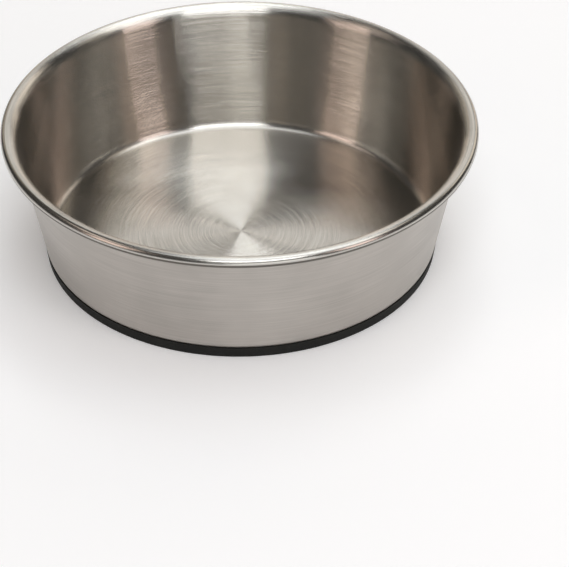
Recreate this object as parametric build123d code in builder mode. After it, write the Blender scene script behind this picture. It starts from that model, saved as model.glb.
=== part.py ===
from build123d import *
from math import cos, radians, sin, sqrt, tan
import os

# A stainless pet bowl: one drawn steel sheet with a rolled rim, bonded to a moulded rubber base.
# The origin is at the middle of the foot face that stands on the table, and +Z is up.

# Driving dimensions, in millimetres and degrees
rim_diameter = 229.0  # outside of the rolled rim
height = 68.8  # from the table to the top of the rim
sheet = 0.8  # thickness of the stainless sheet
wall_draft = 10.8  # how far the wall leans out from upright
corner_radius = 4.5  # inside face, where the floor turns up into the wall
flare_radius = 6.0  # inside face, where the wall turns out into the rim
curl_radius = 2.3  # outside of the rolled edge
curl_turn = 225.0  # how far the edge rolls on after it has turned level
bond = 0.25  # thickness of the adhesive film
base_thickness = 3.2  # rubber between the table and the adhesive, at the foot ring
base_draft = 8.0  # how far the rubber's side leans out from upright
lip_height = 2.4  # how far the rubber climbs the corner, above the underside of the steel
lip_edge = 0.4  # width of the rubber at the top of its lip
foot_ring_width = 15.0  # flat ring that stands on the table
recess_depth = 1.5  # hollow inside the foot ring
step_width = 2.5  # slope between the foot ring and the hollow
foot_round = 0.8  # outer edge of the foot ring
step_round = 2.0  # top and bottom of the slope

# Heights of the stack that the bowl stands on
underside_z = base_thickness + bond
floor_z = underside_z + sheet
lip_z = underside_z + lip_height

# The inside face of the sheet, worked out from the rim down to the floor
lean = radians(wall_draft)
flare_end_r = rim_diameter / 2 - curl_radius
wall_top_r = flare_end_r - flare_radius * cos(lean)
wall_top_z = height - flare_radius + flare_radius * sin(lean)
corner_z = floor_z + corner_radius
wall_foot_z = corner_z - corner_radius * sin(lean)
wall_length = (wall_top_z - wall_foot_z) / cos(lean)
floor_radius = wall_top_r - wall_length * sin(lean) - corner_radius * cos(lean)


def bowl_side(depth):
    """Draw the floor, corner and wall of a face that lies this deep below the inside of the sheet."""
    floor = Line((0, floor_z - depth), (floor_radius, floor_z - depth))
    corner = JernArc(floor @ 1, floor % 1, corner_radius + depth, 90 - wall_draft)
    wall = PolarLine(corner @ 1, wall_length, direction=corner % 1)
    return floor, wall


def bowl_form(depth):
    """The half section of everything that lies inside such a face, up to the top of the wall."""
    with BuildSketch() as form:
        with BuildLine():
            floor, wall = bowl_side(depth)
            Polyline(wall @ 1, (0, (wall @ 1).Y), floor @ 0)
        make_face()
    return form.sketch


def face_radius(depth, z):
    """How far out such a face stands at height z, on the corner or on the wall above it."""
    radius = corner_radius + depth
    drop = corner_z - z
    if drop > radius * sin(lean):
        return floor_radius + sqrt(radius**2 - drop**2)
    return floor_radius + radius * cos(lean) + (radius * sin(lean) - drop) * tan(lean)


steel_form = bowl_form(sheet)
bonded_form = bowl_form(sheet + bond)

# The bowl: floor, corner, wall, flare and hollow rolled rim are all one sheet of even thickness.
with BuildPart() as bowl_shell:
    with BuildSketch(Plane.XZ):
        with BuildLine():
            middles = []
            edges = []
            for depth in (0, sheet):
                floor, wall = bowl_side(depth)
                flare = JernArc(wall @ 1, wall % 1, flare_radius - depth, wall_draft - 90)
                curl = JernArc(flare @ 1, flare % 1, curl_radius - depth, -curl_turn)
                middles.append(floor @ 0)
                edges.append(curl @ 1)
            Line(middles)
            Line(edges)
        make_face()
    revolve(axis=Axis.Z)
bowl_shell.part.label = "bowl_shell"

# The adhesive: an even film under the floor and round the corner, as far up as the rubber's lip.
with BuildPart() as bond_film:
    with BuildSketch(Plane.XZ):
        add(bonded_form)
        add(steel_form, mode=Mode.SUBTRACT)
        with Locations((0, lip_z)):
            Rectangle(rim_diameter, height, align=(Align.MIN, Align.MIN), mode=Mode.SUBTRACT)
    revolve(axis=Axis.Z)
bond_film.part.label = "bond_film"

# The rubber base: a dished pad that fits the bonded bowl, with a flat foot ring round a shallow hollow.
lip_radius = face_radius(sheet + bond, lip_z) + lip_edge
foot_radius = lip_radius - lip_z * tan(radians(base_draft))
step_radius = foot_radius - foot_ring_width
hollow_radius = step_radius - step_width
with BuildPart() as rubber_base:
    with BuildSketch(Plane.XZ):
        with BuildLine():
            outside = FilletPolyline(
                (0, recess_depth),
                (hollow_radius, recess_depth),
                (step_radius, 0),
                (foot_radius, 0),
                (lip_radius, lip_z),
                radius=(step_round, step_round, foot_round),
            )
            Polyline(outside @ 1, (0, lip_z), outside @ 0)
        make_face()
        add(bonded_form, mode=Mode.SUBTRACT)
    revolve(axis=Axis.Z)
rubber_base.part.label = "rubber_base"

os.makedirs("parts", exist_ok=True)
export_step(bowl_shell.part, "parts/bowl_shell.step")
export_step(bond_film.part, "parts/bond_film.step")
export_step(rubber_base.part, "parts/rubber_base.step")
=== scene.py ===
import bpy
from math import asin, cos, pi, radians, sin, sqrt, tan
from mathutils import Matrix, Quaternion, Vector


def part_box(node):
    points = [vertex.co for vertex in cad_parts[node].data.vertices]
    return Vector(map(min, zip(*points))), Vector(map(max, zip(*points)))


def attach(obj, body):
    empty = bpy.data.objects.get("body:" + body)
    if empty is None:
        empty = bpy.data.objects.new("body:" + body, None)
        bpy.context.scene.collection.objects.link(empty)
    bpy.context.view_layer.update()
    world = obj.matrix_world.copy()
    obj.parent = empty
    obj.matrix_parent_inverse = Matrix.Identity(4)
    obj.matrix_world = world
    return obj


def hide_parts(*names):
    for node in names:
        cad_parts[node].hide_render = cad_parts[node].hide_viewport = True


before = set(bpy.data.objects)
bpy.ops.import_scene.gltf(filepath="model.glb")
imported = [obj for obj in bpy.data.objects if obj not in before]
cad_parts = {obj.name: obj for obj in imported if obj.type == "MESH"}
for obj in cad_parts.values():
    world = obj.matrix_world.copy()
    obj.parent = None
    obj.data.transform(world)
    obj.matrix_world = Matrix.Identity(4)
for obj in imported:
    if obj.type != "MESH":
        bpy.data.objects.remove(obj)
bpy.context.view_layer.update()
bpy.context.scene.view_settings.view_transform = "Standard"

# Bowl shell. One disc of stainless sheet, drawn into a dish with a flat floor and a leaning wall, whose edge
# is flared and rolled outwards into a hollow rim. It is spun on the floor, brushed in circles on the inner
# wall, satin outside and buffed on the rim.
MM = 0.001
SEGMENTS = 288  # sides of each full circle
sheet = 0.8 * MM
wall_lean = radians(10.8)
corner_radius = 4.5 * MM
flare_radius = 6.0 * MM
curl_radius = 2.3 * MM
curl_turn = radians(225)
middle_disc = 2 * MM
seam_ring = 0.4 * MM
smooth_angle = radians(35)
shell_low, shell_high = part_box("bowl_shell")
rim_radius = shell_high.x
rim_top = shell_high.z
floor_top = shell_low.z + sheet
curl_middle = rim_radius - curl_radius
wall_top_r = curl_middle - flare_radius * cos(wall_lean)
wall_top_z = rim_top - flare_radius + flare_radius * sin(wall_lean)
wall_foot_z = floor_top + corner_radius - corner_radius * sin(wall_lean)
wall_foot_r = wall_top_r - (wall_top_z - wall_foot_z) * tan(wall_lean)
floor_radius = wall_foot_r - corner_radius * cos(wall_lean)


def arc(middle_r, middle_z, radius, start, turn, steps):
    """Points of the half section along an arc, without its first point."""
    angles = [start + turn * (i + 1) / steps for i in range(steps)]
    return [(middle_r + radius * cos(a), middle_z + radius * sin(a)) for a in angles]


def straight(start, end, steps):
    """Points along a straight stretch, with a ring close to each end that keeps its shading flat."""
    length = sqrt((end[0] - start[0]) ** 2 + (end[1] - start[1]) ** 2)
    shares = [seam_ring / length]
    shares += [(i + 1) / steps for i in range(steps - 1)]
    shares += [1 - seam_ring / length, 1]
    return [(start[0] + (end[0] - start[0]) * t, start[1] + (end[1] - start[1]) * t) for t in shares]


def turned(name, section, closed=False):
    """A round piece, raised ring by ring along its half section from a small disc at the middle."""
    bpy.ops.object.select_all(action="DESELECT")
    radius, height = section[0]
    bpy.ops.mesh.primitive_circle_add(
        vertices=SEGMENTS, radius=radius, fill_type="TRIFAN", location=(0, 0, height)
    )
    bpy.ops.object.transform_apply(location=True, rotation=False, scale=False)
    piece = bpy.context.object
    piece.name = piece.data.name = name
    bpy.ops.object.mode_set(mode="EDIT")
    bpy.ops.mesh.select_mode(type="EDGE")
    bpy.ops.mesh.select_all(action="DESELECT")
    bpy.ops.mesh.select_non_manifold()
    for next_radius, next_height in section[1:]:
        bpy.ops.mesh.extrude_edges_move(TRANSFORM_OT_translate={"value": (0, 0, next_height - height)})
        grow = next_radius / radius
        bpy.ops.transform.resize(value=(grow, grow, 1), center_override=(0, 0, 0))
        radius, height = next_radius, next_height
    if closed:
        bpy.ops.mesh.extrude_edges_move()
        bpy.ops.mesh.merge(type="COLLAPSE")
        bpy.ops.mesh.select_all(action="SELECT")
        bpy.ops.mesh.normals_make_consistent(inside=False)
    bpy.ops.object.mode_set(mode="OBJECT")
    return piece


# The inside face of the sheet, from the middle of the floor to the end of the roll
inside = [(middle_disc, floor_top)]
inside += straight((middle_disc, floor_top), (floor_radius, floor_top), steps=6)
inside += arc(
    floor_radius, floor_top + corner_radius, corner_radius, -pi / 2, pi / 2 - wall_lean, steps=12
)
inside += straight((wall_foot_r, wall_foot_z), (wall_top_r, wall_top_z), steps=6)
inside += arc(
    curl_middle, rim_top - flare_radius, flare_radius, pi - wall_lean, wall_lean - pi / 2, steps=14
)
inside += arc(curl_middle, rim_top - curl_radius, curl_radius, pi / 2, -curl_turn, steps=30)
shell = turned("steel_bowl", inside)

bpy.ops.object.modifier_add(type="SOLIDIFY")
thickness = shell.modifiers[-1]
thickness.thickness = sheet
thickness.offset = -1
thickness.use_even_offset = True
bpy.ops.object.modifier_apply(modifier=thickness.name)
bpy.ops.object.shade_smooth_by_angle(angle=smooth_angle)


def linear(hex_colour):
    """A linear colour from an sRGB hex value."""
    parts = [int(hex_colour[i:i + 2], 16) / 255 for i in (1, 3, 5)]
    return [p / 12.92 if p <= 0.04045 else ((p + 0.055) / 1.055) ** 2.4 for p in parts] + [1]


def add(tree, kind, inputs=None, **settings):
    """Add a shader node. Settings are its own, and each input is a value or another node's socket."""
    node = tree.nodes.new("ShaderNode" + kind)
    for key, value in settings.items():
        setattr(node, key, value)
    for key, value in (inputs or {}).items():
        if isinstance(value, bpy.types.NodeSocket):
            tree.links.new(value, node.inputs[key])
        else:
            node.inputs[key].default_value = value
    return node


def new_material(name):
    """An empty material with its output and shader."""
    material = bpy.data.materials.new(name)
    material.use_nodes = True
    tree = material.node_tree
    tree.nodes.clear()
    shader = add(tree, "BsdfPrincipled")
    add(tree, "OutputMaterial", {"Surface": shader.outputs["BSDF"]})
    return material, tree, shader


# The lines of a real brush are about 0.1 mm apart, too fine for the render, so they are drawn 0.5 to 0.9 mm
# apart. The grooves stay fine: they don't show by themselves, but each tips the steel a little up or down,
# which spreads a reflection across the lines.
line_depth = 0.014 * MM
groove_width = 0.03 * MM
scratch_width = 0.5 * MM
scratch_length = 16 * MM
cloud_size = 28 * MM
cloud_depth = 0.06
across_lines = 0.25  # the quarter turn that stretches highlights across the lines, not along them
noise_low = 0.3  # nearly all of a noise lies between this and noise_high
noise_middle = 0.5
noise_high = 0.7
scratch_start = 0.66  # only the peaks of its noise become scratches
scratch_full = 0.74
brush_end = rim_top - 1.0 * MM  # the brushing fades out between these heights, at the top of the flare
buff_start = rim_top - 0.3 * MM


def stainless(
    name, colour, roughness, anisotropy, spacing, streak, contrast, scratched, tilt=0, rim_roughness=None
):
    """Stainless steel with brush lines round the bowl, spacing apart and about streak long at the rim.

    Contrast is how much lighter and darker the lines are, scratched is how bright a scratch is, and tilt is
    how far the grooves tip the steel. At the top of the flare rim_roughness takes over, where it is given.
    """
    material, tree, shader = new_material(name)
    shader.inputs["Metallic"].default_value = 1
    shader.inputs["Anisotropic"].default_value = anisotropy
    shader.inputs["Anisotropic Rotation"].default_value = across_lines
    around = add(tree, "Tangent", direction_type="RADIAL", axis="Z").outputs[0]
    tree.links.new(around, shader.inputs["Tangent"])

    # A place on the steel: the way round the bowl, and the distance from the middle out and up the wall
    place = add(tree, "TexCoord").outputs["Object"]
    level = add(tree, "VectorMath", {0: place, 1: (1, 1, 0)}, operation="MULTIPLY").outputs[0]
    radius = add(tree, "VectorMath", {0: level}, operation="LENGTH").outputs["Value"]
    height = add(tree, "SeparateXYZ", {0: place}).outputs["Z"]
    along = add(tree, "Math", {0: radius, 1: height}, operation="ADD").outputs[0]
    round_way = add(tree, "VectorMath", {0: level}, operation="NORMALIZE").outputs[0]

    # Brush lines, a few short bright scratches among them, the fine grooves, and soft clouds
    patterns = []
    for width, length in ((spacing, streak), (scratch_width, scratch_length), (groove_width, streak)):
        turns = add(
            tree, "VectorMath", {0: round_way, "Scale": rim_radius / length}, operation="SCALE"
        ).outputs[0]
        across = add(tree, "Math", {0: along, 1: 1 / width}, operation="MULTIPLY").outputs[0]
        across = add(tree, "CombineXYZ", {"Z": across}).outputs[0]
        spot = add(tree, "VectorMath", {0: turns, 1: across}, operation="ADD").outputs[0]
        noise = add(tree, "TexNoise", {"Vector": spot, "Scale": 1, "Detail": 3, "Roughness": 0.55})
        patterns.append(noise.outputs["Fac"])
    lines, scratches, grooves = patterns
    clouds = add(tree, "TexNoise", {"Vector": place, "Scale": 1 / cloud_size, "Detail": 2}).outputs["Fac"]

    line_shade = add(tree, "MapRange", {
        "Value": lines, "From Min": noise_low, "From Max": noise_high,
        "To Min": 1 - contrast, "To Max": 1 + contrast,
    }).outputs[0]
    cloud_shade = add(tree, "MapRange", {
        "Value": clouds, "From Min": noise_low, "From Max": noise_high,
        "To Min": 1 - cloud_depth, "To Max": 1 + cloud_depth,
    }).outputs[0]
    scratch_shade = add(tree, "MapRange", {
        "Value": scratches, "From Min": scratch_start, "From Max": scratch_full,
        "To Min": 1, "To Max": scratched,
    }).outputs[0]
    shade = add(tree, "Math", {0: line_shade, 1: cloud_shade}, operation="MULTIPLY").outputs[0]
    shade = add(tree, "Math", {0: shade, 1: scratch_shade}, operation="MULTIPLY").outputs[0]
    tint = add(tree, "VectorMath", {0: linear(colour)[:3], "Scale": shade}, operation="SCALE").outputs[0]
    tree.links.new(tint, shader.inputs["Base Color"])

    # The brushing gives way to a smoother finish near the top of the flare
    buffing = add(
        tree, "MapRange", {"Value": height, "From Min": brush_end, "From Max": buff_start}
    ).outputs[0]
    gloss = add(
        tree, "MapRange", {"Value": buffing, "To Min": roughness, "To Max": rim_roughness or roughness}
    ).outputs[0]
    rough = add(tree, "Math", {0: gloss, 1: line_shade}, operation="DIVIDE").outputs[0]
    rough = add(tree, "Math", {0: rough, 1: scratch_shade}, operation="MULTIPLY").outputs[0]
    tree.links.new(rough, shader.inputs["Roughness"])

    # Each groove of the brush tips the steel up or down, across the lines
    most = add(tree, "MapRange", {"Value": buffing, "To Min": tilt, "To Max": 0}).outputs[0]
    slope = add(tree, "Math", {0: grooves, 1: noise_middle}, operation="SUBTRACT").outputs[0]
    slope = add(tree, "Math", {0: slope, 1: most}, operation="MULTIPLY").outputs[0]
    facing = add(tree, "NewGeometry").outputs["Normal"]
    over = add(tree, "VectorMath", {0: facing, 1: around}, operation="CROSS_PRODUCT").outputs[0]
    tipped = add(tree, "VectorMath", {0: over, "Scale": slope}, operation="SCALE").outputs[0]
    tipped = add(tree, "VectorMath", {0: facing, 1: tipped}, operation="ADD").outputs[0]
    tipped = add(tree, "VectorMath", {0: tipped}, operation="NORMALIZE").outputs[0]
    bump = add(tree, "Bump", {"Height": lines, "Distance": line_depth, "Normal": tipped}).outputs[0]
    tree.links.new(bump, shader.inputs["Normal"])
    return material


# Spun and brushed steel stretches each reflection across its lines: into an hourglass on the floor, and into
# upright bands on the wall
spun_floor = stainless(
    "stainless_spun_floor", "#C9C5BE", roughness=0.2, anisotropy=1, spacing=0.7 * MM, streak=110 * MM,
    contrast=0.1, scratched=1.2, tilt=1.0
)
brushed = stainless(
    "stainless_brushed", "#C9C5BE", roughness=0.17, anisotropy=1, spacing=0.9 * MM, streak=34 * MM,
    contrast=0.1, scratched=1.4, tilt=2.4, rim_roughness=0.23
)
# Satin steel takes a soft, cloudy picture of the table
satin = stainless(
    "stainless_satin", "#B9B4AE", roughness=0.38, anisotropy=0.6, spacing=0.6 * MM, streak=40 * MM,
    contrast=0.07, scratched=1.1, tilt=0.3
)
# Buffed steel draws the lamps as bright lines along the rim
buffed = stainless(
    "stainless_buffed", "#BEBBB5", roughness=0.23, anisotropy=0.5, spacing=0.5 * MM, streak=80 * MM,
    contrast=0.02, scratched=1.05
)
# The underside of the roll is duller, and its dark colour is painted shade for the dark line under the bead
painted_shade_underside = stainless(
    "stainless_unbuffed", "#6B6761", roughness=0.35, anisotropy=0.5, spacing=0.5 * MM, streak=40 * MM,
    contrast=0.05, scratched=1.05
)
finishes = [spun_floor, brushed, satin, buffed, painted_shade_underside]
for finish in finishes:
    shell.data.materials.append(finish)
for face in shell.data.polygons:
    outwards = Vector((face.center.x, face.center.y, 0))
    if outwards.length > curl_middle:
        # the faces under the roll get the dark painted shade, the ones above get the buffed steel
        finish = painted_shade_underside if face.normal.z < 0 else buffed
    elif face.normal.dot(outwards.normalized()) > face.normal.z:
        finish = satin
    elif face.center.z > wall_foot_z:
        finish = brushed
    else:
        finish = spun_floor
    face.material_index = finishes.index(finish)
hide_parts("bowl_shell")
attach(shell, "root")

# Bond film. A thin coat of dark contact adhesive between the steel and the rubber, all the way under the
# floor and up to the rubber's lip. Only its edge shows, so the solid itself is kept and painted.
# Cured contact adhesive looks dark and half dull, smeared lighter and darker as it was spread
smear_size = 4 * MM
MIX_FIRST = 6  # the colour sockets of a Mix node, which share their names with others
MIX_SECOND = 7
MIX_RESULT = 2
adhesive, tree, shader = new_material("contact_adhesive")
place = add(tree, "TexCoord").outputs["Object"]
smear = add(tree, "TexNoise", {"Vector": place, "Scale": 1 / smear_size, "Detail": 3}).outputs["Fac"]
tint = add(
    tree, "Mix", {"Factor": smear, MIX_FIRST: linear("#12120F"), MIX_SECOND: linear("#24241F")},
    data_type="RGBA"
).outputs[MIX_RESULT]
tree.links.new(tint, shader.inputs["Base Color"])
rough = add(tree, "MapRange", {"Value": smear, "To Min": 0.45, "To Max": 0.7}).outputs[0]
tree.links.new(rough, shader.inputs["Roughness"])
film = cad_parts["bond_film"]
film.data.materials.clear()
film.data.materials.append(adhesive)

# Rubber base. A moulded non-slip pad, bonded under the bowl, with a lip round its bottom corner and a flat
# foot ring round a shallow hollow.
base_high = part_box("rubber_base")[1]
lip_top = base_high.z
lip_radius = base_high.x
base_draft = radians(8)
foot_round = 0.8 * MM
foot_ring = 15 * MM
step_width = 2.5 * MM
step_round = 2 * MM
hollow = 1.5 * MM
bond = 0.25 * MM
lip_edge = 0.4 * MM
foot_radius = lip_radius - lip_top * tan(base_draft)
pocket = floor_top - sheet - bond
pocket_corner = corner_radius + sheet + bond
pocket_turn = asin((floor_top + corner_radius - lip_top) / pocket_corner)


def rounded(before, corner, after, radius, steps=6):
    """Points round a corner of the half section that is rounded off."""
    corner = Vector(corner)
    back_way = (Vector(before) - corner).normalized()
    on_way = (Vector(after) - corner).normalized()
    half = back_way.angle(on_way) / 2
    middle = corner + (back_way + on_way).normalized() * radius / sin(half)
    first = (corner + back_way * radius / tan(half) - middle).normalized()
    last = (corner + on_way * radius / tan(half) - middle).normalized()
    return [tuple(middle + first.slerp(last, i / steps) * radius) for i in range(steps + 1)]


# Its half section, from the middle of the hollow over the foot and the lip, and back under the bowl
under_middle = (middle_disc, hollow)
hollow_edge = (foot_radius - foot_ring - step_width, hollow)
step_foot = (foot_radius - foot_ring, 0)
foot_edge = (foot_radius, 0)
lip_outside = (lip_radius, lip_top)
slope_top = rounded(under_middle, hollow_edge, step_foot, step_round)
slope_foot = rounded(hollow_edge, step_foot, foot_edge, step_round)
foot_bend = rounded(step_foot, foot_edge, lip_outside, foot_round)
section = [under_middle]
section += straight(under_middle, slope_top[0], steps=4) + slope_top[1:]
section += slope_foot
section += straight(slope_foot[-1], foot_bend[0], steps=2) + foot_bend[1:]
section += straight(foot_bend[-1], lip_outside, steps=2)
section += [(lip_radius - lip_edge, lip_top)]
section += arc(
    floor_radius, floor_top + corner_radius, pocket_corner, -pocket_turn, pocket_turn - pi / 2, steps=8
)
section += straight((floor_radius, pocket), (middle_disc, pocket), steps=4)
base = turned("rubber_foot", section, closed=True)

# Moulded black rubber looks dull and a little green, with a fine grain from the mould and a faint cloudy
# bloom. Real mould grain is about 0.2 mm, and it is drawn at 0.7 mm so that it shows
grain_size = 0.7 * MM
grain_depth = 0.03 * MM
bloom_size = 22 * MM
bloom_start = 0.35
rubber, tree, shader = new_material("moulded_rubber")
shader.inputs["Specular IOR Level"].default_value = 0.3
place = add(tree, "TexCoord").outputs["Object"]
grain = add(tree, "TexNoise", {"Vector": place, "Scale": 1 / grain_size, "Detail": 2}).outputs["Fac"]
clouding = add(tree, "TexNoise", {"Vector": place, "Scale": 1 / bloom_size, "Detail": 4}).outputs["Fac"]
bloom = add(
    tree, "MapRange", {"Value": clouding, "From Min": bloom_start, "From Max": noise_high}
).outputs[0]
tint = add(
    tree, "Mix", {"Factor": bloom, MIX_FIRST: linear("#111210"), MIX_SECOND: linear("#1B1C18")},
    data_type="RGBA"
).outputs[MIX_RESULT]
tree.links.new(tint, shader.inputs["Base Color"])
rough = add(tree, "MapRange", {
    "Value": grain, "From Min": noise_low, "From Max": noise_high, "To Min": 0.66, "To Max": 0.82,
}).outputs[0]
tree.links.new(rough, shader.inputs["Roughness"])
bump = add(tree, "Bump", {"Height": grain, "Strength": 0.4, "Distance": grain_depth}).outputs[0]
tree.links.new(bump, shader.inputs["Normal"])
base.data.materials.append(rubber)
bpy.ops.object.shade_smooth_by_angle(angle=smooth_angle)
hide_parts("rubber_base")
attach(base, "root")

# Floor. A wide sheet of matt white paper that the bowl stands on. It looks a little whiter to the camera and
# in the steel than the lamps alone make it, and it keeps the bowl's shadow.
paper_radius = 6
paper_white = 0.22
bpy.ops.mesh.primitive_circle_add(vertices=96, radius=paper_radius, fill_type="NGON", location=(0, 0, 0))
floor = bpy.context.object
floor.name = "studio_floor"
paper, tree, shader = new_material("white_paper")
shader.inputs["Base Color"].default_value = linear("#F5F6F7")
shader.inputs["Roughness"].default_value = 0.9
seen = add(tree, "LightPath").outputs
white = add(
    tree, "Math", {0: seen["Is Camera Ray"], 1: seen["Is Glossy Ray"]}, operation="MAXIMUM"
).outputs[0]
white = add(tree, "Math", {0: white, 1: paper_white}, operation="MULTIPLY").outputs[0]
shader.inputs["Emission Color"].default_value = linear("#FFFFFF")
tree.links.new(white, shader.inputs["Emission Strength"])
floor.data.materials.append(paper)

# Studio light. Soft boxes round the table in a dim room, as they are set for polished metal: each one shows
# in the steel as a pale band, and the gaps between them as dark ones.
box_distance = 2.2
room_light = (0.06, 0.058, 0.055, 1)
world = bpy.data.worlds.new("dim_room")
bpy.context.scene.world = world
world.use_nodes = True
world.node_tree.nodes["Background"].inputs["Color"].default_value = room_light


def soft_box(name, turn, rise, size, glow, colour, lean=0, away=box_distance):
    """A rectangular lamp that faces the bowl. Its angles are in degrees, and its size is in metres.

    Turn 0 is in front of the bowl and 90 is on its right. Glow is how bright the lamp's cloth looks.
    """
    lamp = bpy.data.lights.new(name, "AREA")
    lamp.shape = "RECTANGLE"
    lamp.size, lamp.size_y = size
    lamp.energy = glow * pi * size[0] * size[1]
    lamp.color = linear(colour)[:3]
    holder = bpy.data.objects.new(name, lamp)
    bpy.context.scene.collection.objects.link(holder)
    level = cos(radians(rise))
    way = Vector((sin(radians(turn)) * level, -cos(radians(turn)) * level, sin(radians(rise))))
    holder.location = way * away
    facing = (-way).to_track_quat("-Z", "Y") @ Quaternion((0, 0, 1), radians(lean))
    holder.rotation_euler = facing.to_euler()


soft_box("overhead_back_box", 173, 58, (0.57, 0.71), 2.8, "#F8FCFF", away=2.0)
soft_box("overhead_box", 115, 81.4, (1.2, 1.2), 1.55, "#F9FCFF", away=1.62)
soft_box("front_top_box", 9, 59, (1.2, 0.7), 4.6, "#FCFDFF")
soft_box("front_box", 5, 38, (1.4, 0.78), 0.4, "#FFFFFA")
soft_box("front_low_box", 8, 21, (1.66, 0.46), 0.66, "#FFFFFF")
soft_box("front_strip_box", 14, 7.5, (1.5, 0.54), 1.9, "#FFFFFF")
soft_box("left_box", -62, 31, (0.74, 1.35), 1.42, "#FFE6DA", lean=5)
soft_box("right_box", 54.5, 31, (0.62, 1.35), 1.9, "#FFEAE4", lean=-5)
soft_box("left_top_box", -98, 56, (0.7, 0.62), 1.16, "#FFEEE2")
soft_box("right_top_box", 80, 58, (0.76, 0.7), 0.5, "#FFFAF7")
soft_box("right_back_top_box", 110, 60, (0.55, 0.7), 1.03, "#FFF3E2")
soft_box("back_left_box", -155, 26, (0.84, 1.1), 0.42, "#FFF2DE")
soft_box("back_box", 175, 30, (1.16, 1.1), 0.86, "#FFFEFC")
soft_box("back_right_box", 142, 30, (0.81, 1.1), 1.1, "#FFF4E6")
soft_box("back_low_box", 172, 11, (2.5, 0.5), 0.9, "#FFF1E0")

# Camera. It stands in front of the bowl and looks down into it, at the photograph's angle. The bowl is high
# and left in the picture, so the camera aims a little to its right and below it.
view_rise = 0.5956  # radians above level
view_distance = 1.24
bowl_middle = Vector((0, 0, 0.03817))
right_of_bowl = 0.0208
below_bowl = 0.0536
lens_pixels = 2548  # focal length, in pixels of the picture
picture_width = 569
sensor_width = 36
back = Vector((0, -cos(view_rise), sin(view_rise)))
up = Vector((0, sin(view_rise), cos(view_rise)))
camera_data = bpy.data.cameras.new("camera")
camera_data.sensor_width = sensor_width
camera_data.lens = lens_pixels * sensor_width / picture_width
camera = bpy.data.objects.new("camera", camera_data)
bpy.context.scene.collection.objects.link(camera)
camera.location = bowl_middle + back * view_distance
aim = bowl_middle + Vector((right_of_bowl, 0, 0)) - up * below_bowl
camera.rotation_euler = (aim - camera.location).to_track_quat("-Z", "Y").to_euler()
bpy.context.scene.camera = camera
